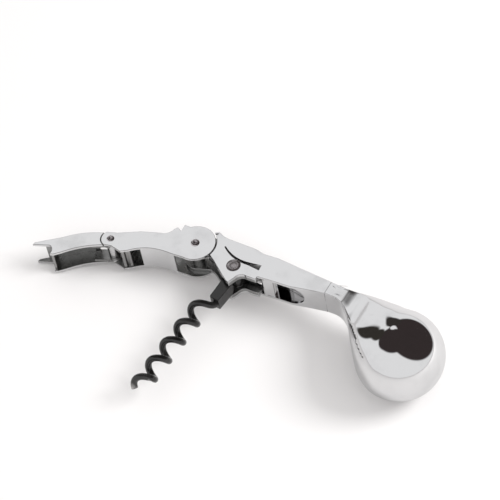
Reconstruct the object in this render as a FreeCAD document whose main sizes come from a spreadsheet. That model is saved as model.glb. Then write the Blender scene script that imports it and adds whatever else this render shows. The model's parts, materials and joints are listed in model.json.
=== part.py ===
import FreeCAD, Part
import Sketcher
import math
import os

# Double-lever corkscrew: a polished handle with a ball end, a wire worm and a two-step lever.
# It lies on its side. +X runs along the handle to the ball, +Y is its back and +Z its upper side.
# The origin is on the worm pivot's axis, in the plane of the lower flat side. Millimetres.
# Every sub-part is drawn about the mid-plane between the two flat sides, then lifted by half the
# head's thickness through its Placement.

SIZES = {
    # handle
    "head_thickness": 14.0,
    "shell_wall": 1.35,
    "waist_start": 44.0,
    "bulb_reach": 86.0,
    "bulb_drop": 8.0,
    "bulb_radius": 20.0,
    "pocket_start": 13.0,
    "pocket_length": 21.0,
    # side plates inside the head
    "liner_thickness": 1.9,
    "tongue_radius": 6.4,
    "side_gap": 0.15,
    "edge_gap": 0.3,
    "pin_gap": 0.05,
    # lever pivot and levers
    "lever_pivot_x": -21.9,
    "lever_pivot_y": 3.8,
    "ear_radius": 9.2,
    "ear_gap": 0.6,
    "lever_wall": 1.2,
    "inner_reach": 38.7,
    "inner_angle": 200.6,
    "outer_length": 35.3,
    "outer_angle": 208.7,
    "hinge_ear_radius": 3.9,
    "hinge_end_radius": 4.3,
    # rivets
    "worm_rivet_radius": 2.2,
    "worm_rivet_head": 2.8,
    "lever_rivet_radius": 1.6,
    "lever_rivet_head": 1.95,
    "hinge_rivet_radius": 1.4,
    "hinge_rivet_head": 1.75,
    "rivet_dome": 0.45,
    # worm
    "worm_angle": -93.7,
    "wire_radius": 1.5,
    "helix_radius": 3.35,
    "helix_pitch": 11.0,
    "helix_offset": -4.0,
    "helix_start": 20.7,
    "helix_end": 70.6,
    "shank_offset": 1.0,
    "lug_length": 17.2,
    "lug_thickness": 6.6,
    "lug_eye_radius": 4.4,
    "lug_front_wall": 0.6,
    "washer_thickness": 0.35,
}

doc = FreeCAD.newDocument("lever_corkscrew")
sheet = doc.addObject("Spreadsheet::Sheet", "Sizes")
for row, (alias, value) in enumerate(SIZES.items(), start=1):
    sheet.set(f"A{row}", alias)
    sheet.set(f"B{row}", str(value))
    sheet.setAlias(f"B{row}", alias)
doc.recompute()


def size(alias):
    """A driving size, read back from the sheet."""
    return float(getattr(sheet, alias))


HALF = size("head_thickness") / 2
CHEEK = HALF - size("shell_wall")
PIVOT = (size("lever_pivot_x"), size("lever_pivot_y"))
CLEAR_OF_ALL = 2 * size("head_thickness")
finished = []


def lift(thing, x="0", y="0", angle="0"):
    """Puts a finished sub-part in the part's frame, with its place bound to the sheet."""
    thing.setExpression("Placement.Base.x", x)
    thing.setExpression("Placement.Base.y", y)
    thing.setExpression("Placement.Base.z", "Sizes.head_thickness / 2")
    thing.setExpression("Placement.Rotation.Angle", angle)
    finished.append(thing)
    return thing


def polar(centre, radius, degrees):
    """A point at a distance and bearing from a centre."""
    turn = math.radians(degrees)
    return (centre[0] + radius * math.cos(turn), centre[1] + radius * math.sin(turn))


def arc(centre, radius, start, end):
    """An arc step for outline(): its middle and last points, from bearing start to end."""
    return (polar(centre, radius, (start + end) / 2), polar(centre, radius, end))


def outline(sketch, steps):
    """Draws a closed outline: a pair is a straight step, a pair of pairs is an arc step."""
    here = steps[0]
    for step in steps[1:] + [steps[0]]:
        there = step[1] if isinstance(step[0], tuple) else step
        start = FreeCAD.Vector(*here, 0)
        end = FreeCAD.Vector(*there, 0)
        if start.distanceToPoint(end) < 1e-6:
            continue
        if isinstance(step[0], tuple):
            curve = Part.Arc(start, FreeCAD.Vector(*step[0], 0), end)
        else:
            curve = Part.LineSegment(start, end)
        sketch.addGeometry(curve, False)
        here = there


def sketch_on(body, name, plane="XY_Plane", offset=None):
    """A sketch on one of the body's own origin planes, at an offset bound to the sheet."""
    sketch = body.newObject("Sketcher::SketchObject", name)
    role = next(o for o in body.Origin.OriginFeatures if o.Role == plane)
    sketch.AttachmentSupport = [(role, "")]
    sketch.MapMode = "FlatFace"
    if offset:
        sketch.setExpression("AttachmentOffset.Base.z", offset)
    return sketch


def circle(sketch, centre, radius):
    """A circle whose radius is bound to an expression on the sheet."""
    index = sketch.addGeometry(Part.Circle(FreeCAD.Vector(*centre, 0), FreeCAD.Vector(0, 0, 1), 1), False)
    sketch.addConstraint(Sketcher.Constraint("DistanceX", -1, 1, index, 3, centre[0]))
    sketch.addConstraint(Sketcher.Constraint("DistanceY", -1, 1, index, 3, centre[1]))
    rule = sketch.addConstraint(Sketcher.Constraint("Radius", index, 1))
    sketch.setExpression(f"Constraints[{rule}]", radius)


def pad(body, sketch, length, symmetric=True, name="Pad"):
    """Pads a sketch by a length bound to the sheet."""
    feature = body.newObject("PartDesign::Pad", f"{body.Name}_{name}")
    feature.Profile = sketch
    feature.setExpression("Length", length)
    feature.SideType = "Symmetric" if symmetric else "One side"
    sketch.Visibility = False
    return feature


def pocket(body, sketch, length, symmetric=True, towards_normal=False, name="Pocket"):
    """Cuts a sketch into the body and proves that it removed material."""
    doc.recompute()
    before = body.Shape.Volume
    feature = body.newObject("PartDesign::Pocket", f"{body.Name}_{name}")
    feature.Profile = sketch
    feature.setExpression("Length", length)
    feature.SideType = "Symmetric" if symmetric else "One side"
    feature.Reversed = towards_normal
    doc.recompute()
    if body.Shape.Volume > before - 1e-3:
        raise ValueError(f"{feature.Name} in {body.Label} cuts nothing")
    return feature


def new_body(label):
    """A PartDesign body named after its sub-part."""
    body = doc.addObject("PartDesign::Body", label)
    body.Label = label
    return body


def plate(label, steps, thickness, holes=(), offset=None):
    """A flat plate from an outline and round holes, symmetric or raised by an offset."""
    body = new_body(label)
    face = sketch_on(body, f"{label}_outline", offset=offset)
    outline(face, steps)
    for centre, radius in holes:
        circle(face, centre, radius)
    pad(body, face, thickness, symmetric=offset is None)
    return body


# ---- handle shells -----------------------------------------------------------------------------

def handle_side():
    """The flat part's outline, from the lever's ear to the start of the waist."""
    ear_clear = size("ear_radius") + size("ear_gap")
    waist = size("waist_start")
    return [
        polar(PIVOT, ear_clear, -18),
        arc(PIVOT, ear_clear, -18, 46),
        (-16.6, 12.3),
        (-14.9, 13.5),
        ((-11.9, 12.2), (-8.0, 11.8)),
        (4.2, 11.9),
        (9.2, 11.0),
        (16.5, 11.5),
        (waist, 9.9),
        (waist, 3.2),
        ((36.5, 1.9), (28.0, 0.1)),
        (18.0, -0.5),
        (12.6, -1.0),
        (12.6, -2.6),
        (8.0, -2.7),
        ((5.2, -3.2), (3.8, -5.2)),
        (2.2, -8.9),
        (0.8, -8.5),
        (-9.6, -1.2),
    ]


def slit_outline():
    """The curved slit through the head's flat sides: it widens from a point to a square end."""
    return [
        (-8.7, 7.3),
        ((-2.0, 3.6), (5.6, 2.8)),
        (11.5, 2.3),
        (11.4, 4.9),
        (5.6, 4.1),
        ((-1.6, 4.4), (-8.4, 7.6)),
    ]


def waist_sections():
    """Sections of waist and bulb: x, top y, bottom y, half thickness, corner radius.

    The first ones follow the flat handle, the last ones the ball."""
    centre_x = size("bulb_reach")
    centre_y = -size("bulb_drop")
    ball = size("bulb_radius")
    waist = size("waist_start")
    flare = centre_x - waist
    shape = [
        # share of the way, top, bottom, share of the thickening, corner share
        (0.00, 9.90, 3.20, 0.000, 0.07),
        (0.12, 9.60, 3.20, 0.002, 0.08),
        (0.22, 9.50, 1.60, 0.015, 0.13),
        (0.30, 9.55, -1.20, 0.055, 0.22),
        (0.38, 9.70, -5.40, 0.130, 0.36),
        (0.46, 9.95, -10.30, 0.250, 0.52),
        (0.54, 10.25, -15.00, 0.405, 0.67),
        (0.62, 10.65, -19.20, 0.560, 0.78),
        (0.70, 11.05, -22.60, 0.705, 0.87),
        (0.80, 11.50, -25.70, 0.855, 0.94),
    ]
    rows = []
    for share, top, bottom, swell, round_share in shape:
        half = HALF + swell * (ball - HALF)
        low = bottom if bottom > 0 else bottom * (ball + size("bulb_drop")) / 28.0
        high = top + share * (ball - size("bulb_drop") - 12.0)
        corner = round_share * min(half, (high - low) / 2)
        rows.append((waist + share * flare, high, low, half, corner))
    for bearing in (-12, 0, 15, 30, 44, 57, 68, 77, 83):
        turn = math.radians(bearing)
        radius = ball * math.cos(turn)
        rows.append((centre_x + ball * math.sin(turn), centre_y + radius, centre_y - radius, radius, 0.985 * radius))
    return rows


def section_wire(x, high, low, half, corner, inset):
    """One rounded rectangle across the handle, drawn in its own sketch."""
    sketch = doc.addObject("Sketcher::SketchObject", "Section")
    sketch.Placement = FreeCAD.Placement(
        FreeCAD.Vector(x, 0, 0), FreeCAD.Rotation(FreeCAD.Vector(1, 1, 1), 120)
    )
    top, bottom, side = high - inset, low + inset, half - inset
    bend = max(corner - inset, 0.3)
    outline(sketch, [
        (bottom + bend, -side),
        (top - bend, -side),
        arc((top - bend, -side + bend), bend, -90, 0),
        (top, side - bend),
        arc((top - bend, side - bend), bend, 0, 90),
        (bottom + bend, side),
        arc((bottom + bend, side - bend), bend, 90, 180),
        (bottom, -side + bend),
        arc((bottom + bend, -side + bend), bend, 180, 270),
    ])
    return sketch


def waist_loft(name, inset):
    """The waist and bulb as one loft; an inset makes the hollow inside them."""
    centre_x = size("bulb_reach")
    ball = size("bulb_radius")
    sections = []
    for x, high, low, half, corner in waist_sections():
        if x > centre_x:
            x = centre_x + (x - centre_x) * (ball - inset) / ball
        if inset and not sections:
            x -= inset
        sections.append(section_wire(x, high, low, half, corner, inset))
    loft = doc.addObject("Part::Loft", name)
    loft.Sections = sections
    loft.Solid = True
    loft.Ruled = False
    return loft


def side_prism(name, steps, height):
    """A side outline raised equally to both sides of the mid-plane."""
    sketch = doc.addObject("Sketcher::SketchObject", name + "_outline")
    outline(sketch, steps)
    prism = doc.addObject("Part::Extrusion", name)
    prism.Base = sketch
    prism.DirMode = "Custom"
    prism.Dir = FreeCAD.Vector(0, 0, 1)
    prism.setExpression("LengthFwd", height)
    prism.Symmetric = True
    prism.Solid = True
    return prism


def round_bar(name, centre, radius, height):
    """A plain cylinder through the mid-plane along Z, its sizes bound to the sheet."""
    bar = doc.addObject("Part::Cylinder", name)
    bar.setExpression("Radius", radius)
    bar.setExpression("Height", height)
    bar.Placement.Base = FreeCAD.Vector(centre[0], centre[1], 0)
    bar.setExpression("Placement.Base.z", f"-({height}) / 2")
    return bar


def block(name, low, high):
    """A box between two corners."""
    box = doc.addObject("Part::Box", name)
    box.Length, box.Width, box.Height = [b - a for a, b in zip(low, high)]
    box.Placement.Base = FreeCAD.Vector(*low)
    return box


def make_shells():
    """Both handle shells: one hollow body, split at the mid-plane."""
    waist = size("waist_start")
    wall = size("shell_wall")
    start = size("pocket_start")
    width = CHEEK
    pocket_end = start + size("pocket_length")

    solid = doc.addObject("Part::MultiFuse", "HandleSolid")
    solid.Shapes = [
        side_prism("HandleSide", handle_side(), "Sizes.head_thickness"),
        waist_loft("WaistAndBulb", 0.0),
    ]

    hollow = "Sizes.head_thickness - 2 * Sizes.shell_wall"
    front_gap = side_prism("HeadGap", [(-40, -30), (13.2, -30), (13.2, 30), (-40, 30)], hollow)
    inside = side_prism("HandleHollow", [
        (13.0, -0.9 + wall),
        (18.0, -0.5 + wall),
        (28.0, 0.1 + wall),
        ((36.5, 1.9 + wall), (waist, 3.2 + wall)),
        (waist, 9.9 - wall),
        (16.5, 11.5 - wall),
        (13.0, 11.3 - wall),
    ], hollow)
    bulb_hollow = waist_loft("BulbHollow", wall)

    # the worm's pocket opens through the underside, with a round end towards the waist
    mouth = block("PocketMouth", (start, -9, -width), (pocket_end - width, 4.0, width))
    mouth_end = doc.addObject("Part::Cylinder", "PocketEnd")
    mouth_end.Radius = width
    mouth_end.Height = 13.0
    mouth_end.Placement = FreeCAD.Placement(
        FreeCAD.Vector(pocket_end - width, 4.0, 0), FreeCAD.Rotation(FreeCAD.Vector(1, 0, 0), 90)
    )

    slit = side_prism("CheekSlit", slit_outline(), "Sizes.head_thickness + 1")
    notch = side_prism("HornNotch", [(-16.3, 11.9), (-14.6, 12.5), (-15.4, 10.6)], "Sizes.head_thickness + 1")
    rivet_hole = round_bar(
        "RivetRecess", (0, 0), "Sizes.worm_rivet_head + Sizes.edge_gap", "Sizes.head_thickness + 1"
    )

    cutters = doc.addObject("Part::MultiFuse", "HandleCutters")
    cutters.Shapes = [front_gap, inside, bulb_hollow, mouth, mouth_end, slit, notch, rivet_hole]
    shell = doc.addObject("Part::Cut", "HandleShell")
    shell.Base = solid
    shell.Tool = cutters

    far = size("bulb_reach") + 2 * size("bulb_radius")
    for label, low, high in (
        ("handle_shell_upper", 0.0, CLEAR_OF_ALL),
        ("handle_shell_lower", -CLEAR_OF_ALL, 0.0),
    ):
        half = doc.addObject("Part::Common", label)
        half.Label = label
        half.Base = shell
        half.Tool = block(label + "_side", (-far, -far, low), (far, far, high))
        lift(half)


# ---- pieces inside the head and handle -----------------------------------------------------------

def liner_outline():
    """A side plate of the head with the tongue that carries the lever's rivet."""
    tongue = size("tongue_radius")
    return [
        polar(PIVOT, tongue, -62),
        arc(PIVOT, tongue, 298, 60),
        (-14.6, 10.6),
        (-9.5, 10.4),
        (12.0, 9.4),
        ((15.4, 5.4), (13.4, 0.6)),
        (12.4, -2.4),
        (8.0, -2.6),
        ((5.3, -3.1), (3.8, -5.1)),
        (2.2, -8.9),
        (0.8, -8.5),
        (-9.6, -1.2),
        (-13.0, 0.2),
    ]


def make_liners():
    """The two side plates, against the inner faces of the shells."""
    bores = [((0, 0), "Sizes.worm_rivet_radius"), (PIVOT, "Sizes.lever_rivet_radius")]
    inner = "Sizes.head_thickness / 2 - Sizes.shell_wall - Sizes.liner_thickness"
    outer = "-(Sizes.head_thickness / 2 - Sizes.shell_wall)"
    for label, offset in (("head_liner_upper", inner), ("head_liner_lower", outer)):
        liner = plate(label, liner_outline(), "Sizes.liner_thickness", bores, offset)
        slit = sketch_on(liner, f"{label}_slit")
        outline(slit, slit_outline())
        pocket(liner, slit, "Sizes.head_thickness + 1", name=f"{label}_slit_cut")
        lift(liner)


LINER_GAP = "Sizes.head_thickness - 2 * Sizes.shell_wall - 2 * Sizes.liner_thickness"
SHELL_GAP = "Sizes.head_thickness - 2 * Sizes.shell_wall"


def make_head_fillings():
    """The spacer, back spring, bridge and pocket floor that sit between the side plates."""
    lift(plate("head_spacer", [
        (-13.6, 8.9), (-5.0, 8.7), (-5.0, 10.2), (-9.5, 10.4), (-13.9, 10.6),
    ], LINER_GAP))

    lift(plate("back_spring", [
        (-3.4, 4.75), ((2.0, 6.2), (7.0, 7.1)), (40.0, 6.9), (40.0, 8.0), (7.0, 8.2), ((1.6, 7.4), (-3.6, 6.0)),
    ], f"{LINER_GAP} - 2 * Sizes.side_gap"))

    anchor = new_body("spring_anchor")
    seat = sketch_on(anchor, "spring_anchor_outline")
    outline(seat, [(37.0, 5.6), (41.8, 5.6), (41.8, 8.3), (40.2, 8.4), (40.2, 6.7), (37.0, 6.7)])
    pad(anchor, seat, f"{SHELL_GAP} - 2 * Sizes.side_gap")
    lift(anchor)

    lift(plate("pocket_bridge", [
        (13.9, -0.3), ((14.8, -0.8), (16.0, -0.5)), (19.4, 0.3), (20.2, 1.3), (20.0, 2.3), (16.4, 1.2),
        (16.4, 5.2), (15.9, 5.2), ((15.9, 3.0), (14.4, 0.9)),
    ], SHELL_GAP))

    lift(plate("pocket_tray", [
        (16.6, 5.6), ((26.5, 5.6), (35.6, 3.4)), (35.9, 4.4), ((26.7, 6.3), (16.6, 6.3)),
    ], f"{SHELL_GAP} - 2 * Sizes.side_gap"))


def turned(label, profile):
    """A round piece: its profile (radius, height) turned about the Z axis."""
    body = new_body(label)
    sketch = sketch_on(body, f"{label}_profile", plane="XZ_Plane")
    outline(sketch, profile)
    turn = body.newObject("PartDesign::Revolution", f"{label}_turn")
    turn.Profile = sketch
    axis = next(o for o in body.Origin.OriginFeatures if o.Role == "Z_Axis")
    turn.ReferenceAxis = (axis, [""])
    turn.Angle = 360
    return body


def rivet_profile(shank, head, under, dome):
    """Half a rivet with two domed heads: shank radius, head radius, grip half height, dome height."""
    top = under + dome
    return [
        (0, -top + 0.15),
        (head * 0.35, -top),
        ((head * 0.85, -top + dome * 0.3), (head, -under)),
        (shank, -under),
        (shank, under),
        (head, under),
        ((head * 0.85, top - dome * 0.3), (head * 0.35, top)),
        (0, top - 0.15),
    ]


def make_rivets():
    """The worm's flush rivet, and the lever's and hinge's small domed ones."""
    flush_head = size("worm_rivet_head")
    shank = size("worm_rivet_radius")
    rim = HALF - 0.25
    lift(turned("worm_rivet", [
        (0, -HALF),
        (flush_head - 0.3, -HALF),
        (flush_head, -rim),
        (flush_head, -CHEEK),
        (shank, -CHEEK),
        (shank, CHEEK),
        (flush_head, CHEEK),
        (flush_head, rim),
        (flush_head - 0.3, HALF),
        (0, HALF),
    ]))
    dome = size("rivet_dome")
    grip = HALF + size("pin_gap")
    lever = rivet_profile(size("lever_rivet_radius"), size("lever_rivet_head"), grip, dome)
    lift(turned("lever_rivet", lever), "Sizes.lever_pivot_x", "Sizes.lever_pivot_y")
    hinge = rivet_profile(size("hinge_rivet_radius"), size("hinge_rivet_head"), HALF, dome)
    lift(turned("hinge_rivet", hinge), *HINGE_PLACE)


def ring(label, bore, outside, height, place=("0", "0")):
    """A plain ring about a rivet, between the plates that the rivet joins."""
    body = new_body(label)
    face = sketch_on(body, f"{label}_ring")
    circle(face, (0, 0), outside)
    circle(face, (0, 0), bore)
    pad(body, face, height)
    return lift(body, *place)


def make_washers():
    """Two thin washers in one node, on both sides of the worm's lug."""
    gap = "(Sizes.head_thickness / 2 - Sizes.shell_wall - Sizes.liner_thickness)"
    rings = []
    for name, offset in (("Upper", f"{gap} - Sizes.washer_thickness"), ("Lower", f"-{gap}")):
        washer = new_body(f"Washer{name}")
        face = sketch_on(washer, f"Washer{name}Ring", offset=offset)
        circle(face, (0, 0), "Sizes.lug_eye_radius - Sizes.edge_gap")
        circle(face, (0, 0), "Sizes.worm_rivet_radius")
        pad(washer, face, "Sizes.washer_thickness", symmetric=False)
        rings.append(washer)
    pair = doc.addObject("Part::Compound", "worm_washers")
    pair.Label = "worm_washers"
    pair.Links = rings
    lift(pair)


# ---- worm ----------------------------------------------------------------------------------------

def make_lug():
    """The folded lug that turns on the worm's rivet and grips the wire just inside its front edge."""
    eye = size("lug_eye_radius")
    end = size("lug_length")
    edge = size("shank_offset") + size("wire_radius") + size("lug_front_wall")
    body = plate("worm_lug", [
        polar((0, 0), eye, 34),
        arc((0, 0), eye, 34, 305),
        (9.0, -2.3),
        (end - 1.2, -2.2),
        ((end - 0.3, -1.9), (end, -1.0)),
        (end, edge - 0.4),
        (8.0, edge),
    ], "Sizes.lug_thickness", [((0, 0), "Sizes.worm_rivet_radius + Sizes.pin_gap")])
    bore = sketch_on(body, "wire_bore", plane="YZ_Plane", offset="Sizes.lug_eye_radius + 1")
    circle(bore, (size("shank_offset"), 0), "Sizes.wire_radius")
    pocket(body, bore, "Sizes.lug_length", symmetric=False, towards_normal=True, name="WireBore")
    return body


def wire_line():
    """Points along the centre line of the wire's helix, 24 to a turn."""
    radius = size("helix_radius")
    pitch = size("helix_pitch")
    axis = size("helix_offset")
    start = size("helix_start")
    end = size("helix_end")
    rate = 2 * math.pi / pitch
    first = math.radians(45)
    count = int((end - start) / pitch * 24)
    points = []
    for step in range(count + 1):
        along = start + (end - start) * step / count
        turn = first + rate * (along - start)
        points.append(FreeCAD.Vector(along, axis + radius * math.cos(turn), radius * math.sin(turn)))
    return points


def make_screw():
    """The worm: a straight shank in the lug, a short neck, and a right-handed helix."""
    wire = size("wire_radius")
    offset = size("shank_offset")
    neck_start = FreeCAD.Vector(size("lug_length"), offset, 0)
    shank_start = FreeCAD.Vector(size("lug_eye_radius") + 1, offset, 0)
    coil = Part.BSplineCurve()
    coil.interpolate(wire_line())
    coil_start = coil.value(coil.FirstParameter)
    lead_in = coil.tangent(coil.FirstParameter)[0]
    reach = (coil_start - neck_start).Length / 3
    neck = Part.BezierCurve()
    neck.setPoles([
        neck_start,
        neck_start + FreeCAD.Vector(reach, 0, 0),
        coil_start - lead_in * reach,
        coil_start,
    ])
    path = Part.Wire([neck.toShape(), coil.toShape()])
    profile = Part.Wire([Part.Circle(neck_start, FreeCAD.Vector(1, 0, 0), wire).toShape()])
    coil_solid = path.makePipeShell([profile], True, False)
    shank = Part.makeCylinder(wire, (neck_start - shank_start).Length, shank_start, FreeCAD.Vector(1, 0, 0))
    whole = shank.fuse(coil_solid)

    # the tip is ground off at a slant
    tip = coil.value(coil.LastParameter)
    along = coil.tangent(coil.LastParameter)[0]
    slant = (along + FreeCAD.Vector(0.5, 0.4, 0)).normalize()
    grind = Part.makeCylinder(6 * wire, 6 * wire, tip - along * 1.2, slant)
    worm = doc.addObject("Part::Feature", "worm_screw")
    worm.Label = "worm_screw"
    worm.Shape = whole.cut(grind)
    return worm


# ---- levers --------------------------------------------------------------------------------------

HINGE_PLACE = (
    "Sizes.lever_pivot_x + Sizes.inner_reach * cos(Sizes.inner_angle * 1deg)",
    "Sizes.lever_pivot_y + Sizes.inner_reach * sin(Sizes.inner_angle * 1deg)",
)


def make_inner_lever():
    """The first lever, drawn along +X from its pivot, with its front towards +Y."""
    ear = size("ear_radius")
    reach = size("inner_reach")
    end = size("hinge_end_radius")
    wall = size("lever_wall")
    hinge = (reach, 0.0)
    body = plate("inner_lever", [
        polar((0, 0), ear, -68),
        (6.3, -9.6),
        (7.4, -6.0),
        (9.2, -8.0),
        (10.8, -6.9),
        ((12.4, -5.2), (16.4, -4.5)),
        (25.5, -4.8),
        (reach - 2.6, -3.4),
        polar(hinge, end, -58),
        arc(hinge, end, -58, 52),
        (reach - 1.0, 3.9),
        (reach - 5.4, 6.7),
        (reach - 8.9, 6.0),
        ((24.1, 4.4), (19.2, 4.2)),
        ((14.6, 5.0), (10.3, 6.4)),
        polar((0, 0), ear, 62),
        arc((0, 0), ear, 62, 292),
    ], "Sizes.head_thickness", [
        ((0, 0), "Sizes.lever_rivet_radius + Sizes.pin_gap"),
        (hinge, "Sizes.hinge_rivet_radius"),
    ])
    web_end = reach - size("hinge_ear_radius") - size("edge_gap")
    hollow = sketch_on(body, "channel")
    outline(hollow, [
        (-12, -14),
        (24.0, -14),
        (24.0, -4.75 + wall),
        (web_end, -3.6 + wall),
        (web_end, -14),
        (reach + 12, -14),
        (reach + 12, 14),
        (24.6, 14),
        (24.6, 4.5 - wall),
        ((19.4, 4.2 - wall), (14.6, 5.0 - wall)),
        (8.6, 6.9 - wall),
        (8.6, 14),
        (-12, 14),
    ])
    pocket(body, hollow, "Sizes.head_thickness - 2 * Sizes.lever_wall")
    lift(body, "Sizes.lever_pivot_x", "Sizes.lever_pivot_y", "Sizes.inner_angle")

    lift(plate("first_step_rest", [
        (reach - 9.6, 2.0),
        (reach - 5.2, 2.9),
        (reach - 5.6, 6.3),
        (reach - 6.9, 6.0),
        (reach - 6.9, 4.6),
        (reach - 8.2, 4.3),
        (reach - 8.4, 5.6),
        (reach - 9.6, 5.3),
    ], "Sizes.head_thickness - 2 * Sizes.lever_wall"),
        "Sizes.lever_pivot_x", "Sizes.lever_pivot_y", "Sizes.inner_angle")


def make_outer_lever():
    """The second lever, drawn along +X from its hinge: a channel with two prongs at its end."""
    length = size("outer_length")
    start = size("hinge_end_radius") + size("edge_gap")
    cheek = "(Sizes.head_thickness / 2 - Sizes.shell_wall)"
    body = plate("outer_lever", [
        polar((0, 0), start, -50),
        (3.9, -3.7),
        ((13.1, -4.1), (21.9, -2.5)),
        (length - 1.0, -0.7),
        (length, 0.4),
        (length - 7.9, 1.5),
        ((length - 8.9, 3.6), (length - 8.0, 6.3)),
        (length - 9.6, 6.6),
        (length - 13.2, 5.7),
        ((15.0, 3.8), (5.0, 3.1)),
        polar((0, 0), start, 42),
        arc((0, 0), start, 42, -50),
    ], "Sizes.head_thickness")
    hollow = sketch_on(body, "channel")
    wall = size("lever_wall")
    outline(hollow, [
        (0, -12),
        (start + 1.9, -12),
        (start + 1.9, -3.9 + wall),
        ((13.1, -4.1 + wall), (21.9, -2.5 + wall)),
        (length - 5.5, -1.2 + wall),
        (length - 5.5, -12),
        (length + 6, -12),
        (length + 6, 12),
        (0, 12),
    ])
    pocket(body, hollow, "Sizes.head_thickness - 2 * Sizes.shell_wall")

    # two inner ears turn on the hinge rivet, inside the first lever's sides
    ear = size("hinge_ear_radius")
    ear_wall = "Sizes.lever_wall"
    for side, offset in (
        ("Upper", f"{cheek} - {ear_wall}"),
        ("Lower", f"-{cheek}"),
    ):
        face = sketch_on(body, f"Ear{side}", offset=offset)
        outline(face, [
            polar((0, 0), ear, 50),
            arc((0, 0), ear, 50, 310),
            (9.0, -2.2),
            (9.0, 2.6),
        ])
        circle(face, (0, 0), "Sizes.hinge_rivet_radius + Sizes.pin_gap")
        pad(body, face, ear_wall, symmetric=False, name=f"Ear{side}Pad")
    lift(body, *HINGE_PLACE, "Sizes.outer_angle")

    # the cross web between the sides takes the bottle's rim
    lift(plate("rim_rest", [
        (length - 9.0, -0.3),
        (length - 7.6, -0.1),
        (length - 7.9, 1.5),
        ((length - 8.9, 3.6), (length - 8.3, 5.6)),
        (length - 9.4, 5.6),
        ((length - 10.0, 3.4), (length - 9.1, 1.2)),
    ], SHELL_GAP), *HINGE_PLACE, "Sizes.outer_angle")


# ---- build ---------------------------------------------------------------------------------------

def build():
    """Makes every sub-part."""
    make_shells()
    make_liners()
    make_head_fillings()
    make_rivets()
    ring("lever_spacer", "Sizes.lever_rivet_radius", "Sizes.lever_rivet_radius + 1.5", LINER_GAP,
         ("Sizes.lever_pivot_x", "Sizes.lever_pivot_y"))
    ear_gap = "Sizes.head_thickness - 2 * (Sizes.shell_wall + Sizes.lever_wall + Sizes.side_gap)"
    ring("hinge_sleeve", "Sizes.hinge_rivet_radius", "Sizes.hinge_rivet_radius + 1.1", ear_gap, HINGE_PLACE)
    make_washers()
    lift(make_lug(), angle="Sizes.worm_angle")
    lift(make_screw(), angle="Sizes.worm_angle")
    make_inner_lever()
    make_outer_lever()


def check_and_write():
    """Stops at any failed object or bad shape, then writes one file for each sub-part."""
    doc.recompute()
    for thing in doc.Objects:
        if "Invalid" in thing.State or "Error" in thing.State:
            raise ValueError(f"{thing.Label} did not compute: {thing.State}")
    for thing in finished:
        if thing.Shape.isNull() or not thing.Shape.isValid() or not thing.Shape.Solids:
            raise ValueError(f"{thing.Label} has no valid solid")
    os.makedirs("parts", exist_ok=True)
    for thing in finished:
        thing.Shape.exportStep(f"parts/{thing.Label}.step")
        box = thing.Shape.BoundBox
        print(f"{thing.Label}: {len(thing.Shape.Solids)} solid, {thing.Shape.Volume:.0f} mm3, "
              f"x {box.XMin:.1f}..{box.XMax:.1f} y {box.YMin:.1f}..{box.YMax:.1f} z {box.ZMin:.1f}..{box.ZMax:.1f}")


build()
check_and_write()
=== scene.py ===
"""Looks of a two-step lever corkscrew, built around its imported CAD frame.

Each sub-assembly is a class that models its pieces in the frame's own axes, in metres, gives them
their finish and lets them ride on the CAD body that they belong to.
"""

import json
import logging
import math
from contextlib import contextmanager
from dataclasses import dataclass, field
from enum import Enum
from typing import Any, Iterator

import bmesh
import bpy
import numpy as np
from mathutils import Matrix, Vector


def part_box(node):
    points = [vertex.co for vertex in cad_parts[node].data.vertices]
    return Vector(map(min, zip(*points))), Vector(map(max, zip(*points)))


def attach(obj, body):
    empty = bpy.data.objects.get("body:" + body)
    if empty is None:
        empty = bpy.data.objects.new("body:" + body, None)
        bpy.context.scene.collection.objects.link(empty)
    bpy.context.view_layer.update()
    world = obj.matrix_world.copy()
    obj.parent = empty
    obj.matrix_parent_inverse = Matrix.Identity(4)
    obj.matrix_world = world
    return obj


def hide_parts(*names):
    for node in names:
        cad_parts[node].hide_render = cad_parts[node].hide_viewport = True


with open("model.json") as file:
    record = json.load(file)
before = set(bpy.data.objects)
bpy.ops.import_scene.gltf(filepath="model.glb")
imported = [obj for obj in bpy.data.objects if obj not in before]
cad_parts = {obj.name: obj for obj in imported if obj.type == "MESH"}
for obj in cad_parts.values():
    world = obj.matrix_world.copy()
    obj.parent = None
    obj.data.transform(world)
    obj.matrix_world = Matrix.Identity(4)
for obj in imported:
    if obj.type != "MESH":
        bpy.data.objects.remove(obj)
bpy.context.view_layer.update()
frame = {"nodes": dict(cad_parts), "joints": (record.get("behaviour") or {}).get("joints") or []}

MM = 0.001
MERGE = 0.002 * MM
NEAR = 0.01 * MM
MATERIAL_PLACES = 3
LOG = logging.getLogger("corkscrew")
Colour = tuple[float, float, float]


# ---- shader maths --------------------------------------------------------------------------------


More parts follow.
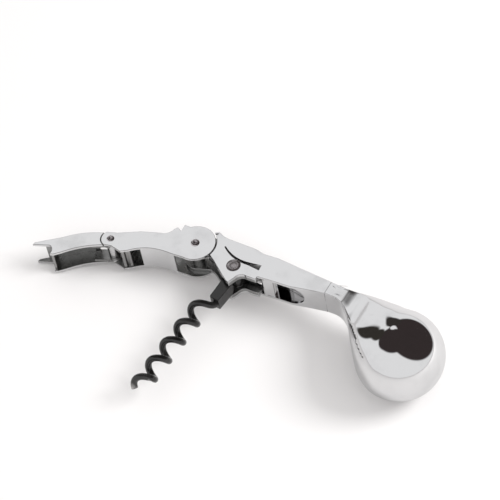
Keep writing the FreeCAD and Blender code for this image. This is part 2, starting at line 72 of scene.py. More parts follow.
class Value:
    """A number that changes over a surface, held as the socket that gives it."""

    def __init__(self, sheet: "ShaderSheet", socket: bpy.types.NodeSocket) -> None:
        """Keeps the socket and the sheet that new Math nodes go on."""
        self.sheet = sheet
        self.socket = socket

    def _join(self, operation: str, first: Any, second: Any) -> "Value":
        """Adds one Math node.

        Args:
            operation: The Math node's operation.
            first: A Value or a plain number.
            second: A Value or a plain number.

        Returns:
            The node's result.
        """
        node = self.sheet.node("ShaderNodeMath", {"operation": operation}, {0: first, 1: second})
        return Value(self.sheet, node.outputs[0])

    def __add__(self, other: Any) -> "Value":
        """Sum."""
        return self._join("ADD", self, other)

    def __radd__(self, other: Any) -> "Value":
        """Sum with the number first."""
        return self._join("ADD", other, self)

    def __mul__(self, other: Any) -> "Value":
        """Product."""
        return self._join("MULTIPLY", self, other)

    def step(self, low: float, high: float) -> "Value":
        """A smooth step from 0 at low to 1 at high."""
        node = self.sheet.node(
            "ShaderNodeMapRange",
            {"interpolation_type": "SMOOTHSTEP"},
            {"Value": self, "From Min": low, "From Max": high},
        )
        return Value(self.sheet, node.outputs["Result"])


class ShaderSheet:
    """A material's or the world's node tree, and the one way that nodes are added to it."""

    def __init__(self, tree: bpy.types.NodeTree) -> None:
        """Starts with an empty tree."""
        self.tree = tree
        tree.nodes.clear()

    def node(
        self, kind: str, settings: dict[str, Any] | None = None, inputs: dict[Any, Any] | None = None
    ) -> bpy.types.Node:
        """Adds a node.

        Args:
            kind: The node's type.
            settings: Its properties, set first.
            inputs: What its sockets get, by name or number: a Value, a socket or a constant.

        Returns:
            The new node.
        """
        made = self.tree.nodes.new(kind)
        for name, setting in (settings or {}).items():
            setattr(made, name, setting)
        for name, given in (inputs or {}).items():
            if isinstance(given, Value):
                self.tree.links.new(given.socket, made.inputs[name])
            elif isinstance(given, bpy.types.NodeSocket):
                self.tree.links.new(given, made.inputs[name])
            else:
                made.inputs[name].default_value = given
        return made

    def noise(self, place: bpy.types.NodeSocket, scale: float, detail: float = 2.0) -> Value:
        """Noise over a place, from 0 to 1."""
        node = self.node(
            "ShaderNodeTexNoise", {"normalize": True}, {"Vector": place, "Scale": scale, "Detail": detail}
        )
        return Value(self, node.outputs["Fac"])

    def blend(self, share: Any, first: Any, second: Any) -> bpy.types.NodeSocket:
        """Mixes two colours by a share of the second."""
        sockets = {0: share, 6: self._rgba(first), 7: self._rgba(second)}
        return self.node("ShaderNodeMix", {"data_type": "RGBA"}, sockets).outputs[2]

    @staticmethod
    def _rgba(colour: Any) -> Any:
        """A colour with its fourth number, or a socket as it is."""
        return (*colour, 1.0) if isinstance(colour, tuple) and len(colour) == 3 else colour


# ---- finishes ------------------------------------------------------------------------------------


class Slot(Enum):
    """The record's material slots."""

    CHROME = "mirror_chrome"
    SATIN = "satin_steel"
    RIVET = "rivet_steel"
    SPRING = "spring_steel"
    COATING = "black_coating"


@dataclass(frozen=True)
class BareMetal:
    """A bare metal: polished, tumbled or drawn, with handling marks and fine lines."""

    slot: Slot
    light: Colour
    dark: Colour
    roughness: float
    smear_roughness: float
    line_direction: tuple[float, float, float]
    line_depth: float
    smear_scale: float = 90.0
    smear_range: tuple[float, float] = (0.46, 0.70)
    smear_darkening: float = 0.55
    line_scale: float = 260.0
    line_range: tuple[float, float] = (0.60, 0.74)
    line_darkening: float = 0.25
    bump_strength: float = 0.35

    def material(self, turn: float = 0.0) -> bpy.types.Material:
        """Builds the material.

        Args:
            turn: Angle about Z, in radians, of the piece that the lines follow.

        Returns:
            The new material.
        """
        made = bpy.data.materials.new(self.slot.value)
        made.use_nodes = True
        sheet = ShaderSheet(made.node_tree)
        place = sheet.node("ShaderNodeTexCoord").outputs["Object"]
        mapped = sheet.node(
            "ShaderNodeMapping",
            inputs={"Vector": place, "Rotation": (0.0, 0.0, -turn), "Scale": self.line_direction},
        ).outputs["Vector"]
        smear = sheet.noise(place, self.smear_scale, 3.0).step(*self.smear_range)
        lines = sheet.noise(mapped, self.line_scale, 4.0)
        deep_lines = lines.step(*self.line_range)
        share = smear * self.smear_darkening + deep_lines * self.line_darkening
        colour = sheet.blend(share, self.light, self.dark)
        rough = self.roughness + smear * self.smear_roughness + deep_lines * (0.5 * self.smear_roughness)
        height = lines + sheet.noise(place, self.smear_scale * 0.4, 1.0) * 0.5
        bump = sheet.node(
            "ShaderNodeBump",
            inputs={"Strength": self.bump_strength, "Distance": self.line_depth, "Height": height},
        )
        surface = sheet.node(
            "ShaderNodeBsdfPrincipled",
            inputs={
                "Base Color": colour,
                "Metallic": 1.0,
                "Roughness": rough,
                "Normal": bump.outputs["Normal"],
            },
        )
        sheet.node("ShaderNodeOutputMaterial", inputs={"Surface": surface.outputs["BSDF"]})
        return made


@dataclass(frozen=True)
class BlackCoating:
    """A glossy black coating on steel wire and plate, thinner where it rubs."""

    slot: Slot = Slot.COATING
    coat: Colour = (0.0065, 0.0062, 0.0060)
    dusty: Colour = (0.030, 0.029, 0.028)
    steel: Colour = (0.50, 0.49, 0.48)
    roughness: float = 0.16
    grain_depth: float = 0.02 * MM
    bare_from: float = -69.0 * MM
    bare_to: float = -70.6 * MM

    def material(self) -> bpy.types.Material:
        """Builds the material.

        Returns:
            The new material.
        """
        made = bpy.data.materials.new(self.slot.value)
        made.use_nodes = True
        sheet = ShaderSheet(made.node_tree)
        place = sheet.node("ShaderNodeTexCoord").outputs["Object"]
        along = sheet.node("ShaderNodeSeparateXYZ", inputs={"Vector": place}).outputs["Y"]
        tip = Value(sheet, along).step(self.bare_from, self.bare_to)
        rub = sheet.noise(place, 420.0, 4.0).step(0.70, 0.78)
        dust = sheet.noise(place, 130.0, 3.0).step(0.42, 0.74)
        worn = tip * 0.85 + rub * 0.16
        colour = sheet.blend(worn, sheet.blend(dust * 0.6, self.coat, self.dusty), self.steel)
        rough = self.roughness + dust * 0.12 + rub * 0.10
        grain = sheet.noise(place, 2400.0, 2.0)
        bump = sheet.node(
            "ShaderNodeBump", inputs={"Strength": 0.3, "Distance": self.grain_depth, "Height": grain}
        )
        surface = sheet.node(
            "ShaderNodeBsdfPrincipled",
            inputs={
                "Base Color": colour,
                "Metallic": worn,
                "Roughness": rough,
                "Coat Weight": 0.35,
                "Coat Roughness": 0.08,
                "Normal": bump.outputs["Normal"],
            },
        )
        sheet.node("ShaderNodeOutputMaterial", inputs={"Surface": surface.outputs["BSDF"]})
        return made


MIRROR = BareMetal(
    Slot.CHROME, light=(0.86, 0.86, 0.865), dark=(0.74, 0.74, 0.745),
    roughness=0.035, smear_roughness=0.05, line_direction=(0.25, 1.0, 1.0), line_depth=0.0015 * MM,
)
SATIN = BareMetal(
    Slot.SATIN, light=(0.50, 0.50, 0.49), dark=(0.36, 0.36, 0.35),
    roughness=0.30, smear_roughness=0.10, line_direction=(0.12, 1.0, 1.0), line_depth=0.01 * MM,
)
# Painted shade: the rounds get a dark base colour that stands in for the dark reflections and shade along
# every edge; only its roughness is the edge's own.
SHADED_EDGE = BareMetal(
    Slot.CHROME, light=(0.30, 0.29, 0.285), dark=(0.16, 0.15, 0.15),
    roughness=0.26, smear_roughness=0.10, line_direction=(1.0, 1.0, 1.0), line_depth=0.004 * MM,
)
# Partly real, partly painted shade: the inside is rougher because no polishing wheel reaches it, and its
# dark base colour stands in for the shade in the channels and under the plates.
DULL_SHADED_INSIDE = BareMetal(
    Slot.CHROME, light=(0.40, 0.40, 0.395), dark=(0.27, 0.27, 0.265),
    roughness=0.22, smear_roughness=0.10, line_direction=(0.15, 1.0, 1.0), line_depth=0.008 * MM,
)
RIVET = BareMetal(
    Slot.RIVET, light=(0.66, 0.62, 0.63), dark=(0.48, 0.44, 0.45),
    roughness=0.26, smear_roughness=0.08, line_direction=(1.0, 1.0, 1.0), line_depth=0.01 * MM,
)
SPRING = BareMetal(
    Slot.SPRING, light=(0.42, 0.42, 0.43), dark=(0.26, 0.27, 0.31),
    roughness=0.24, smear_roughness=0.10, line_direction=(0.1, 1.0, 1.0), line_depth=0.01 * MM,
)
COATING = BlackCoating()


# ---- bench: the modelling moves that the classes share --------------------------------------------


class Bench:
    """Modelling moves on one object at a time, as by hand."""

    @staticmethod
    def only(piece: bpy.types.Object) -> None:
        """Selects one object and nothing else."""
        bpy.ops.object.select_all(action="DESELECT")
        bpy.context.view_layer.objects.active = piece
        piece.select_set(True)

    @staticmethod
    @contextmanager
    def edit(piece: bpy.types.Object, everything: bool = True) -> Iterator[None]:
        """Edit mode on one object, with all or nothing of it selected."""
        Bench.only(piece)
        bpy.ops.object.mode_set(mode="EDIT")
        bpy.ops.mesh.select_all(action="SELECT" if everything else "DESELECT")
        yield
        bpy.ops.object.mode_set(mode="OBJECT")

    @staticmethod
    def from_nodes(name: str, *nodes: str) -> bpy.types.Object:
        """One piece from merged copies of CAD nodes.

        Args:
            name: The new piece's name.
            nodes: The CAD nodes whose shape it starts from.

        Returns:
            The new piece, with one mesh.
        """
        copies = []
        for node in nodes:
            copy = bpy.data.objects.new(name, frame["nodes"][node].data.copy())
            bpy.context.scene.collection.objects.link(copy)
            copies.append(copy)
        Bench.only(copies[0])
        for copy in copies:
            copy.select_set(True)
        if len(copies) > 1:
            bpy.ops.object.join()
        piece = bpy.context.view_layer.objects.active
        with Bench.edit(piece):
            bpy.ops.mesh.remove_doubles(threshold=MERGE)
        piece.data.materials.clear()
        for _ in range(MATERIAL_PLACES):
            piece.data.materials.append(None)
        return piece

    @staticmethod
    def flatten(piece: bpy.types.Object, angle: float = 0.3) -> None:
        """Joins the loose triangles of each flat face into one face."""
        with Bench.edit(piece):
            bpy.ops.mesh.dissolve_limited(angle_limit=math.radians(angle))

    @staticmethod
    def soften(piece: bpy.types.Object, width: float, segments: int = 2, angle: float = 32.0) -> None:
        """Rounds a piece's edges; the rounds get the piece's second material.

        Args:
            piece: The piece, whose flat faces are already single faces.
            width: The round's width, in metres.
            segments: Faces across the round.
            angle: Edges sharper than this many degrees are rounded.
        """
        Bench.only(piece)
        bevel = piece.modifiers.new("round", "BEVEL")
        bevel.width = width
        bevel.segments = segments
        bevel.angle_limit = math.radians(angle)
        bevel.use_clamp_overlap = False
        bevel.harden_normals = False
        bevel.miter_outer = "MITER_ARC"
        bevel.material = 1
        bpy.ops.object.modifier_apply(modifier=bevel.name)

    @staticmethod
    def smooth(piece: bpy.types.Object, angle: float = 30.0, keep_flats: bool = True) -> None:
        """Shades a piece smooth, apart from its sharp edges.

        Args:
            piece: The piece.
            angle: Edges sharper than this many degrees stay sharp.
            keep_flats: Whether large flat faces stay flat up to their rounds.
        """
        Bench.only(piece)
        bpy.ops.object.shade_smooth_by_angle(angle=math.radians(angle))
        if keep_flats:
            weight = piece.modifiers.new("flats", "WEIGHTED_NORMAL")
            weight.mode = "FACE_AREA"
            weight.weight = 100
            weight.keep_sharp = True
            bpy.ops.object.modifier_apply(modifier=weight.name)

    @staticmethod
    def fit(
        piece: bpy.types.Object, body: str, slot: Slot, materials: list[bpy.types.Material], *nodes: str
    ) -> None:
        """Dresses a finished piece and lets it ride in place of CAD nodes.

        Args:
            piece: The finished piece.
            body: The CAD body that it rides on.
            slot: The record's slot for its finish; not used.
            materials: Its materials: the face's, the edge's and the inside's.
            nodes: The CAD nodes that it stands for.
        """
        while len(piece.data.materials) < len(materials):
            piece.data.materials.append(None)
        for place, material in enumerate(materials):
            piece.data.materials[place] = material
        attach(piece, body)
        if nodes:
            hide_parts(*nodes)
        LOG.info("%s: %d faces on %s", piece.name, len(piece.data.polygons), body)


@dataclass
class PlatePiece:
    """A stamped or milled piece whose CAD shape is right: its edges are rounded and it is dressed."""

    node: str
    name: str
    body: str
    finish: BareMetal | BlackCoating
    edge: float
    edge_finish_or_shade: BareMetal | None = None
    turn: float = 0.0

    def build(self) -> bpy.types.Object:
        """Builds the piece in its CAD node's place.

        Returns:
            The finished piece.
        """
        piece = Bench.from_nodes(self.name, self.node)
        Bench.flatten(piece)
        Bench.soften(piece, self.edge)
        Bench.smooth(piece)
        if isinstance(self.finish, BareMetal):
            face = self.finish.material(self.turn)
        else:
            face = self.finish.material()
        edge = self.edge_finish_or_shade.material(self.turn) if self.edge_finish_or_shade else face
        Bench.fit(piece, self.body, self.finish.slot, [face, edge, face], self.node)
        return piece


@dataclass
class Rivet:
    """A rivet with a formed head on each side: a low dome, and a dimple left by the punch."""

    node: str
    name: str
    body: str
    shank: float
    dome: float
    dimple: float
    dimple_depth: float
    collar: float = 0.2 * MM
    sides: int = 56

    def build(self) -> bpy.types.Object:
        """Builds the rivet from a round bar, in its CAD node's place.

        Returns:
            The finished piece.
        """
        low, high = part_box(self.node)
        middle = (low + high) / 2
        head = (high.x - low.x) / 2
        half = (high.z - low.z) / 2
        bpy.ops.object.select_all(action="DESELECT")
        bpy.ops.mesh.primitive_cylinder_add(
            vertices=self.sides,
            radius=self.shank,
            depth=2 * (half - self.dome - self.collar),
            location=middle,
        )
        piece = bpy.context.object
        piece.name = self.name
        for side in (1.0, -1.0):
            self.form_head(piece, side, middle, head)
        Bench.only(piece)
        bpy.ops.object.transform_apply(location=True, rotation=False, scale=False)
        Bench.soften(piece, 0.06 * MM, 2, 40.0)
        Bench.smooth(piece, 35.0)
        # The rivet's rounds get the dark edge colour, which is painted shade.
        face = RIVET.material()
        Bench.fit(piece, self.body, Slot.RIVET, [face, SHADED_EDGE.material()], self.node)
        return piece

    def form_head(self, piece: bpy.types.Object, side: float, middle: Vector, head: float) -> None:
        """Upsets one end of the bar into a head.

        Args:
            piece: The rivet so far.
            side: 1 for the upper end, -1 for the lower one.
            middle: The rivet's middle.
            head: The head's radius.
        """
        with Bench.edit(piece, everything=False):
            shape = bmesh.from_edit_mesh(piece.data)
            shape.faces.ensure_lookup_table()
            for face in shape.faces:
                face.select_set(face.normal.z * side > 0.9)
            bmesh.update_edit_mesh(piece.data)
            rise = 0.0
            radius = self.shank
            for target, level in (
                (head, 0.0),
                (head, self.collar),
                (0.86 * head, self.collar + 0.62 * self.dome),
                (0.62 * head, self.collar + 0.92 * self.dome),
                (self.dimple, self.collar + self.dome),
                (0.80 * self.dimple, self.collar + self.dome - 0.55 * self.dimple_depth),
                (0.45 * self.dimple, self.collar + self.dome - self.dimple_depth),
            ):
                bpy.ops.mesh.extrude_region_move()
                bpy.ops.transform.translate(value=(0.0, 0.0, side * (level - rise)))
                bpy.ops.transform.resize(
                    value=(target / radius, target / radius, 1.0), center_override=middle
                )
                rise, radius = level, target


# ---- handle --------------------------------------------------------------------------------------


def spline(knots: list[float], values: list[float], at: np.ndarray) -> np.ndarray:
    """A smooth curve through values, free at its start and level at its end.

    Args:
        knots: Where the values are, rising.
        values: What the curve passes through.
        at: Where the curve is wanted.

    Returns:
        The curve's values there.
    """
    x, y = np.array(knots), np.array(values)
    gap, count = np.diff(x), len(x)
    rows, right = np.zeros((count, count)), np.zeros(count)
    rows[0, 0] = 1.0
    for i in range(1, count - 1):
        rows[i, i - 1: i + 2] = gap[i - 1], 2 * (gap[i - 1] + gap[i]), gap[i]
        right[i] = 6 * ((y[i + 1] - y[i]) / gap[i] - (y[i] - y[i - 1]) / gap[i - 1])
    rows[-1, -2:] = gap[-1], 2 * gap[-1]
    right[-1] = -6 * (y[-1] - y[-2]) / gap[-1]
    bend = np.linalg.solve(rows, right)
    i = np.clip(np.searchsorted(x, at) - 1, 0, count - 2)
    h, a, b = gap[i], x[i + 1] - at, at - x[i]
    return (
        bend[i] * a**3 / (6 * h) + bend[i + 1] * b**3 / (6 * h)
        + (y[i] / h - bend[i] * h / 6) * a + (y[i + 1] / h - bend[i + 1] * h / 6) * b
    )


@dataclass(frozen=True)
class Section:
    """One section of the waist: its place, height and roundness."""

    share: float
    top: float
    bottom: float
    thickening: float
    corner: float


@dataclass
class Bulb:
    """The waist and the round bulb: one drawn skin whose section goes from oblong to round."""

    start: float = 44.0 * MM
    wall: float = 1.35 * MM
    flare_rings: int = 260
    ball_rings: int = 44
    ball_end: float = math.radians(89.0)
    corner_faces: int = 24
    side_faces: int = 4
    shoulder: float = 0.2
    shoulder_corner: float = 0.985
    # share of the way to the bulb, top and bottom in mm, share of the thickening, corner's share
    sections: tuple[Section, ...] = (
        Section(0.00, 9.90, 3.20, 0.000, 0.07),
        Section(0.12, 9.60, 3.20, 0.002, 0.07),
        Section(0.22, 9.50, 1.60, 0.015, 0.09),
        Section(0.30, 9.55, -1.20, 0.055, 0.14),
        Section(0.38, 9.70, -5.40, 0.130, 0.23),
        Section(0.46, 9.95, -10.30, 0.250, 0.37),
        Section(0.54, 10.25, -15.00, 0.405, 0.54),
        Section(0.62, 10.65, -19.20, 0.560, 0.70),
        Section(0.70, 11.05, -22.60, 0.705, 0.83),
        Section(0.80, 11.50, -25.70, 0.855, 0.93),
    )

    def build(self) -> bpy.types.Object:
        """Builds the rings of the outer and the inner skin, and the wall between them.

        Returns:
            The closed hollow piece.
        """
        low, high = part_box("handle_shell_lower")
        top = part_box("handle_shell_upper")[1].z
        radius = (top - low.z) / 2
        centre = Vector((high.x - radius, low.y + radius, (top + low.z) / 2))
        half = (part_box("inner_lever")[1].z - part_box("inner_lever")[0].z) / 2
        length = centre.x - self.start
        edge = centre.x - self.shoulder * radius
        shoulder = math.sqrt(1.0 - self.shoulder**2) * radius
        knots = [self.start + row.share * length for row in self.sections] + [edge, centre.x]
        tops = [row.top * MM for row in self.sections] + [centre.y + shoulder, centre.y + radius]
        bottoms = [row.bottom * MM for row in self.sections] + [centre.y - shoulder, centre.y - radius]
        halves = [half + row.thickening * (radius - half) for row in self.sections] + [shoulder, radius]
        corners = [row.corner for row in self.sections] + [self.shoulder_corner, 1.0]
        at = np.linspace(self.start, centre.x, self.flare_rings, endpoint=False)
        outside = list(zip(
            at, spline(knots, tops, at), spline(knots, bottoms, at), spline(knots, halves, at),
            np.clip(spline(knots, corners, at), 0.0, 1.0),
        ))
        wall = self.wall
        inside = [
            (x, high - wall, low + wall, part - wall, corner) for x, high, low, part, corner in outside
        ]
        for rings, size in ((outside, radius), (inside, radius - wall)):
            for turn in np.linspace(0.0, self.ball_end, self.ball_rings):
                ring = size * math.cos(turn)
                rings.append((centre.x + size * math.sin(turn), centre.y + ring, centre.y - ring, ring, 1.0))
        return self.skin(outside, inside, centre.z)

    def skin(
        self, outside: list[tuple[float, ...]], inside: list[tuple[float, ...]], middle: float
    ) -> bpy.types.Object:
        """Joins the rings into an outer and an inner skin, and closes them into one wall.

        Args:
            outside: Each outer ring's x, top, bottom, half thickness and corner share.
            inside: The same of each inner ring.
            middle: Height of the mid-plane.

        Returns:
            The closed piece.
        """
        shape = bmesh.new()
        starts = []
        for rings in (outside, inside):
            rows = []
            for x, high, low, half, corner in rings:
                bend = corner * min(half, (high - low) / 2)
                points = self.ring(high, low, half, bend)
                rows.append([shape.verts.new((x, y, middle + z)) for y, z in points])
            for first, second in zip(rows, rows[1:]):
                self.strip(shape, first, second)
            shape.faces.new(rows[-1])
            starts.append(rows[0])
        self.strip(shape, *starts)
        bmesh.ops.recalc_face_normals(shape, faces=shape.faces)
        mesh = bpy.data.meshes.new("bulb")
        shape.to_mesh(mesh)
        shape.free()
        bulb = bpy.data.objects.new("bulb", mesh)
        bpy.context.scene.collection.objects.link(bulb)
        for _ in range(MATERIAL_PLACES):
            mesh.materials.append(None)
        return bulb

    @staticmethod
    def strip(
        shape: bmesh.types.BMesh, first: list[bmesh.types.BMVert], second: list[bmesh.types.BMVert]
    ) -> None:
        """Fills the band between two rings.

        Args:
            shape: The mesh that both rings are in.
            first: The points of one ring.
            second: The points of the other one.
        """
        for i, vert in enumerate(first):
            after = (i + 1) % len(first)
            shape.faces.new((vert, first[after], second[after], second[i]))

    def ring(self, high: float, low: float, half: float, bend: float) -> list[tuple[float, float]]:
        """Points round one oblong section.

        Args:
            high: Its top.
            low: Its bottom.
            half: Half its thickness.
            bend: Its corner radius.

        Returns:
            The points, as y and z from the mid-plane.
        """
        points: list[tuple[float, float]] = []
        corners = (
            (high - bend, half - bend), (low + bend, half - bend),
            (low + bend, bend - half), (high - bend, bend - half),
        )
        for number, (y, z) in enumerate(corners):
            for step in range(self.corner_faces + 1):
                turn = math.radians(90.0 * (number + step / self.corner_faces))
                points.append((y + bend * math.cos(turn), z + bend * math.sin(turn)))
            last, (y, z) = points[-1], corners[(number + 1) % 4]
            turn = math.radians(90.0 * (number + 1))
            coming = (y + bend * math.cos(turn), z + bend * math.sin(turn))
            for step in range(1, self.side_faces):
                share = step / self.side_faces
                points.append(tuple(a + share * (b - a) for a, b in zip(last, coming)))
        return points


@dataclass
class Handle:
    """The hollow handle with its head, and what is riveted or wedged inside it."""

    edge: float = 0.17 * MM
    inner_edge: float = 0.12 * MM
    bulb: Bulb = field(default_factory=Bulb)

    def build(self) -> None:
        """Builds every piece on the handle body."""
        self.shell()
        # The liners' faces take the darker inside colour, which is painted shade; the pocket pieces' rounds
        # take the dark edge colour, which is painted shade too.
        for node, name, finish, rim in (
            ("head_liner_upper", "upper_side_plate", DULL_SHADED_INSIDE, MIRROR),
            ("head_liner_lower", "lower_side_plate", DULL_SHADED_INSIDE, MIRROR),
            ("head_spacer", "head_block", SATIN, None),
            ("back_spring", "leaf_spring", SPRING, None),
            ("spring_anchor", "spring_seat", SATIN, None),
            ("pocket_bridge", "pocket_front_bar", MIRROR, SHADED_EDGE),
            ("pocket_tray", "pocket_floor", MIRROR, SHADED_EDGE),
            ("worm_washers", "worm_thrust_washers", SATIN, None),
            ("lever_spacer", "lever_bush", SATIN, None),
        ):
            PlatePiece(node, name, "handle", finish, self.inner_edge, rim).build()
        Rivet(
            "worm_rivet", "worm_pin", "handle",
            shank=2.2 * MM, dome=0.05 * MM, dimple=1.9 * MM, dimple_depth=0.10 * MM,
        ).build()
        Rivet(
            "lever_rivet", "lever_pin", "handle",
            shank=1.6 * MM, dome=0.40 * MM, dimple=0.85 * MM, dimple_depth=0.45 * MM,
        ).build()

    def shell(self) -> None:
        """Both shells as the one polished skin that they are once they are joined."""
        skin = Bench.from_nodes("handle_shell", "handle_shell_upper", "handle_shell_lower")
        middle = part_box("handle_shell_upper")[0].z
        with Bench.edit(skin, everything=False):
            shape = bmesh.from_edit_mesh(skin.data)
            seam = [f for f in shape.faces if all(abs(v.co.z - middle) < NEAR for v in f.verts)]
            bmesh.ops.delete(shape, geom=seam, context="FACES_ONLY")
            bmesh.ops.remove_doubles(shape, verts=shape.verts, dist=NEAR)
            bmesh.update_edit_mesh(skin.data)
            bpy.ops.mesh.select_all(action="SELECT")
            bpy.ops.mesh.bisect(
                plane_co=(self.bulb.start, 0.0, middle), plane_no=(1.0, 0.0, 0.0), clear_outer=True
            )
        Bench.flatten(skin)
        Bench.soften(skin, self.edge)
        with Bench.edit(skin, everything=False):
            shape = bmesh.from_edit_mesh(skin.data)
            for edge in shape.edges:
                edge.select_set(
                    edge.is_boundary and all(abs(v.co.x - self.bulb.start) < NEAR for v in edge.verts)
                )
            bmesh.update_edit_mesh(skin.data)
            bpy.ops.mesh.bridge_edge_loops()
            bpy.ops.mesh.select_all(action="SELECT")
            bpy.ops.mesh.normals_make_consistent(inside=False)
        bulb = self.bulb.build()
        Bench.smooth(skin)
        Bench.smooth(bulb, 50.0, keep_flats=False)
        Bench.only(skin)
        bulb.select_set(True)
        bpy.ops.object.join()
        Bench.fit(
            skin, "handle", Slot.CHROME, [MIRROR.material(), SHADED_EDGE.material(), MIRROR.material()],
            "handle_shell_upper", "handle_shell_lower",
        )


# ---- worm ----------------------------------------------------------------------------------------


@dataclass
class Worm:
    """The coated wire helix and the lug that it is clamped in."""

    def build(self) -> None:
        """Builds both pieces."""
        PlatePiece("worm_lug", "worm_clamp", "worm", COATING, 0.25 * MM).build()
        wire = Bench.from_nodes("worm_wire", "worm_screw")
        Bench.smooth(wire, 40.0, keep_flats=False)
        Bench.fit(wire, "worm", Slot.COATING, [COATING.material()], "worm_screw")


# ---- levers --------------------------------------------------------------------------------------


@dataclass
class Levers:
    """The two hinged levers with their rests and their hinge."""

    edge: float = 0.15 * MM
    wall: float = 1.2 * MM
    web_change: float = 24.5 * MM

    def build(self) -> None:
        """Builds every piece on both lever bodies."""
        pivots = {joint["name"]: Vector(joint["pos_m"]) for joint in frame["joints"]}
        start, hinge = pivots["lever_pivot"], pivots["lever_hinge"]
        low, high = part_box("outer_lever")
        along = (hinge - start).normalized()
        out = (Vector((low.x, low.y + 0.3 * (high.y - low.y), hinge.z)) - hinge).normalized()
        turn = math.atan2(along.y, along.x)
        # The step rests take the darker inside colour, which is painted shade; the levers' rounds take the
        # dark edge colour, which is painted shade too.
        for node, name, body, finish, rim in (
            ("inner_lever", "first_lever", "inner_lever", MIRROR, SHADED_EDGE),
            ("first_step_rest", "first_step", "inner_lever", DULL_SHADED_INSIDE, SHADED_EDGE),
            ("hinge_sleeve", "hinge_bush", "inner_lever", MIRROR, SHADED_EDGE),
            ("outer_lever", "second_lever", "outer_lever", MIRROR, SHADED_EDGE),
            ("rim_rest", "second_step", "outer_lever", DULL_SHADED_INSIDE, SHADED_EDGE),
        ):
            piece = PlatePiece(node, name, body, finish, self.edge, rim, turn).build()
            if node == "inner_lever":
                self.dull_and_shade_inside(piece, start, along, self.web_change)
            if node == "outer_lever":
                self.dull_and_shade_inside(piece, hinge, out, 0.0)
        Rivet(
            "hinge_rivet", "hinge_pin", "inner_lever",
            shank=1.4 * MM, dome=0.40 * MM, dimple=0.75 * MM, dimple_depth=0.40 * MM,
        ).build()

    def dull_and_shade_inside(self, piece: bpy.types.Object, start: Vector, along: Vector, change: float) -> None:
        """Gives a channel's inner faces a duller finish, as the polishing wheel doesn't reach them, and a
        darker colour that is painted shade.

        Args:
            piece: The lever.
            start: Its pivot.
            along: Its direction.
            change: Before this far along it the channel opens to the back, and after it to the front.
        """
        half = (piece.bound_box[6][2] - piece.bound_box[0][2]) / 2
        front = Vector((-along.y, along.x, 0.0))
        for face in piece.data.polygons:
            height = abs(face.center.z - start.z)
            if face.material_index != 0 or height > half - self.wall + 0.05 * MM:
                continue
            opens = 1.0 if (face.center - start).dot(along) > change else -1.0
            if abs(face.normal.z) > 0.9 or face.normal.dot(front) * opens > 0.6:
                # Painted shade: these inner faces get the darker inside colour.
                face.material_index = 2
        piece.data.materials[2] = DULL_SHADED_INSIDE.material()


# ---- studio --------------------------------------------------------------------------------------


@dataclass(frozen=True)
class RoomPatch:
    """A round patch painted into the polish's reflection of the room: an unlit part, or a pale gap in one.
    """

    azimuth: float
    elevation: float
    radius: float
    softness: float
    colour: Colour

    def direction(self) -> Vector:
        """Direction to its middle."""
        turn, rise = math.radians(self.azimuth), math.radians(self.elevation)
        return Vector((math.cos(rise) * math.cos(turn), math.cos(rise) * math.sin(turn), math.sin(rise)))


# Colours of the room's painted reflection, seen only in the polish: the pale room, dark patches and one pale
# gap.
PALE_WALL = (0.80, 0.80, 0.805)
UNLIT_CEILING = (0.036, 0.028, 0.028)
UNLIT_CORNER = (0.034, 0.030, 0.026)
UNLIT_SHELF = (0.034, 0.030, 0.028)


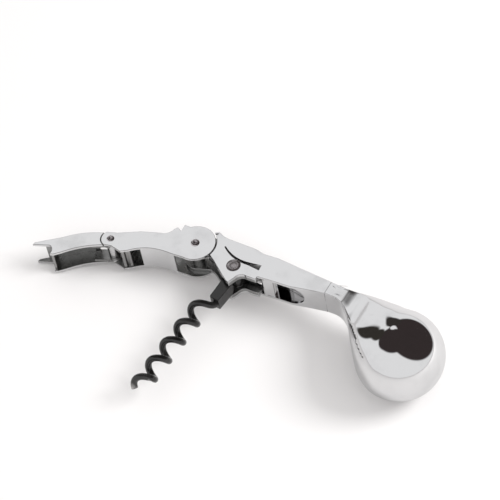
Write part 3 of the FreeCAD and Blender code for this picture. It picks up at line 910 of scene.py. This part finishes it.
@dataclass
class Studio:
    """Pale floor, soft light, the room that the chrome reflects, and the camera."""

    azimuth: float = 39.47
    elevation: float = 52.47
    roll: float = 12.3
    distance: float = 1.2127
    lens: float = 198.0
    sensor: float = 36.0
    aside: float = 6.35 * MM
    above: float = 10.89 * MM
    pale: Colour = (0.86, 0.855, 0.855)
    floor_size: float = 8.0
    floor_gap: float = 0.1 * MM
    floor_light: Colour = (0.90, 0.885, 0.88)
    floor_dark: Colour = (0.88, 0.865, 0.86)
    floor_painted_reflection: Colour = (0.66, 0.65, 0.648)
    key_from: tuple[float, float, float] = (0.80, 0.42, 0.70)
    key_distance: float = 0.9
    key_size: float = 0.45
    key_energy: float = 5.0
    patches: tuple[RoomPatch, ...] = (
        RoomPatch(180.0, 80.0, 33.0, 2.5, UNLIT_CEILING),
        RoomPatch(50.0, 52.0, 54.0, 2.5, UNLIT_CEILING),
        RoomPatch(168.0, 20.0, 15.0, 2.5, UNLIT_CORNER),
        RoomPatch(172.0, 40.0, 14.0, 2.5, UNLIT_CORNER),
        RoomPatch(127.0, 34.0, 14.0, 2.5, UNLIT_SHELF),
        RoomPatch(129.0, 52.0, 6.0, 1.5, PALE_WALL),
    )

    def floor_frame(self) -> tuple[Vector, Vector]:
        """The floor's middle and its upward normal, where the bulb and the lever's end touch it."""
        low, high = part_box("handle_shell_lower")
        radius = (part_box("handle_shell_upper")[1].z - low.z) / 2
        bulb = Vector((high.x - radius, low.y + radius, low.z + radius))
        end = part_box("outer_lever")[0]
        span = bulb.x - end.x
        rise = bulb.z - end.z
        reach = math.hypot(span, rise)
        tilt = math.asin(radius / reach) - math.atan2(rise, span)
        normal = Vector((math.sin(tilt), 0.0, math.cos(tilt)))
        return bulb - normal * radius, normal

    def build(self) -> None:
        """Builds floor, lights, room and camera."""
        self.floor()
        self.light()
        self.world()
        self.camera()

    def floor(self) -> None:
        """A plain pale floor, large enough for every view; in the polish it shows a darker colour, which is
        a painted reflection.
        """
        middle, normal = self.floor_frame()
        bpy.ops.object.select_all(action="DESELECT")
        bpy.ops.mesh.primitive_plane_add(size=self.floor_size, location=middle - normal * self.floor_gap)
        floor = bpy.context.object
        floor.name = "floor"
        floor.rotation_euler = normal.to_track_quat("Z", "Y").to_euler()
        made = bpy.data.materials.new("pale_floor")
        made.use_nodes = True
        sheet = ShaderSheet(made.node_tree)
        place = sheet.node("ShaderNodeTexCoord").outputs["Object"]
        seen = sheet.blend(sheet.noise(place, 3.0), self.floor_light, self.floor_dark)
        path = sheet.node("ShaderNodeLightPath")
        surface = sheet.node(
            "ShaderNodeBsdfPrincipled",
            inputs={
                # Painted reflection: rays from the polish see the floor in a darker colour than the camera
                # and the lighting do.
                "Base Color": sheet.blend(path.outputs["Is Glossy Ray"], seen, self.floor_painted_reflection),
                "Roughness": 0.9,
                "Specular IOR Level": 0.1,
            },
        )
        sheet.node("ShaderNodeOutputMaterial", inputs={"Surface": surface.outputs["BSDF"]})
        floor.data.materials.append(made)

    def light(self) -> None:
        """One large soft light from the right; the polish doesn't show it."""
        direction = Vector(self.key_from).normalized()
        bpy.ops.object.light_add(type="AREA", location=direction * self.key_distance)
        lamp = bpy.context.object
        lamp.name = "soft_key"
        lamp.rotation_euler = direction.to_track_quat("Z", "Y").to_euler()
        lamp.data.shape = "DISK"
        lamp.data.size = self.key_size
        lamp.data.energy = self.key_energy
        lamp.visible_glossy = False

    def world(self) -> None:
        """The room: pale all round, with dark patches painted into what only the polish shows."""
        world = bpy.data.worlds.new("room")
        bpy.context.scene.world = world
        world.use_nodes = True
        sheet = ShaderSheet(world.node_tree)
        towards = sheet.node("ShaderNodeTexCoord").outputs["Generated"]
        colour: Any = PALE_WALL
        for patch in self.patches:
            facing = sheet.node(
                "ShaderNodeVectorMath", {"operation": "DOT_PRODUCT"}, {0: towards, 1: patch.direction()}
            ).outputs["Value"]
            inner = math.cos(math.radians(patch.radius - patch.softness))
            outer = math.cos(math.radians(patch.radius + patch.softness))
            colour = sheet.blend(Value(sheet, facing).step(outer, inner), colour, patch.colour)
        path = sheet.node("ShaderNodeLightPath")
        # Painted reflection: glossy rays see the patches, while the camera and the lighting see the pale
        # room.
        shown = sheet.blend(path.outputs["Is Glossy Ray"], self.pale, colour)
        background = sheet.node("ShaderNodeBackground", inputs={"Color": shown, "Strength": 1.0})
        sheet.node("ShaderNodeOutputWorld", inputs={"Surface": background.outputs["Background"]})

    def camera(self) -> None:
        """The camera, aimed past the worm's pivot."""
        pivot = Vector((0.0, 0.0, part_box("handle_shell_upper")[0].z))
        round_z = math.radians(self.azimuth)
        up = math.radians(self.elevation)
        back = Vector((
            math.sin(round_z) * math.cos(up), -math.cos(round_z) * math.cos(up), math.sin(up)
        ))
        level = back.to_track_quat("Z", "Y")
        bpy.ops.object.camera_add()
        camera = bpy.context.object
        camera.name = "camera"
        matrix = level.to_matrix() @ Matrix.Rotation(math.radians(-self.roll), 3, "Z")
        right = matrix.col[0]
        top = matrix.col[1]
        camera.matrix_world = matrix.to_4x4()
        camera.location = pivot + back * self.distance + right * self.aside + top * self.above
        camera.data.lens = self.lens
        camera.data.sensor_width = self.sensor
        camera.data.clip_end = 20.0
        bpy.context.scene.camera = camera


def main() -> None:
    logging.basicConfig(level=logging.INFO, format="%(name)s: %(message)s")
    for part in (Handle(), Worm(), Levers(), Studio()):
        part.build()
    bpy.context.scene.view_settings.view_transform = "Standard"


if __name__ == "__main__":
    main()
